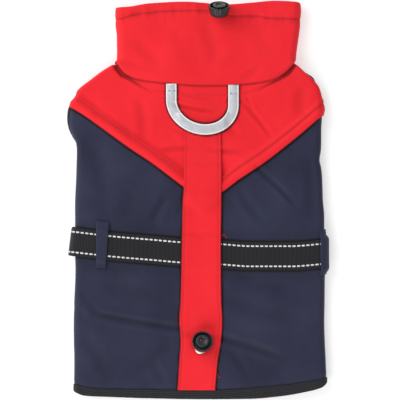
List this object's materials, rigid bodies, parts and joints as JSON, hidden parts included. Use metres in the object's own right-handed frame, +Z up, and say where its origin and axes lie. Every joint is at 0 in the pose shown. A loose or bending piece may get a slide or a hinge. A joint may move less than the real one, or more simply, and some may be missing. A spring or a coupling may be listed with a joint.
{
  "type": "dog coat",
  "caption": "Pull-on dog coat laid flat, back side up: hollow cloth tube with tall drawcord collar, V yoke, centre strip, webbing belt, bound armholes and cord locks.",
  "frame": {"origin": "middle of the coat's outline as seen from above, on the surface that it lies on", "axes": "+X to the right of the back as seen from above with the neck away, +Y from the hem to the neck, +Z up from the surface"},
  "size_m": [0.245, 0.374, 0.0366],
  "materials": {
    "shell_red": "matt woven, red",
    "shell_navy": "matt woven, navy",
    "webbing_black": "ribbed webbing, black with white dashes",
    "binding_black": "ribbed elastic binding, black",
    "tape_reflective": "silver reflective tape",
    "lock_plastic": "moulded plastic, black",
    "eyelet_metal": "nickel-plated"
  },
  "bodies": {
    "coat": {"back_panel": "shell_navy", "belly_panel": "shell_navy", "yoke": "shell_red", "collar": "shell_red", "centre_strip": "shell_red", "belt": "webbing_black", "belt_loop_left": "shell_navy", "belt_loop_right": "shell_navy", "hem_band": "binding_black", "armhole_binding_left": "binding_black", "armhole_binding_right": "binding_black", "reflective_loop": "tape_reflective", "eyelet_strip": "eyelet_metal", "eyelet_collar": "eyelet_metal", "cord_lock_barrel_strip": "lock_plastic", "cord_lock_barrel_collar": "lock_plastic"},
    "plunger_strip": {"cord_lock_plunger_strip": "lock_plastic"},
    "plunger_collar": {"cord_lock_plunger_collar": "lock_plastic"}
  },
  "joints": [
    {"name": "strip_lock_press", "type": "slide", "parent": "coat", "child": "plunger_strip", "axis": [0, -0.342, -0.9397], "range_m": [0, 0.003], "stiffness_N_per_m": 500, "springref_m": -0.004},
    {"name": "collar_lock_press", "type": "slide", "parent": "coat", "child": "plunger_collar", "axis": [0, -0.866, -0.5], "range_m": [0, 0.003], "stiffness_N_per_m": 500, "springref_m": -0.004}
  ]
}
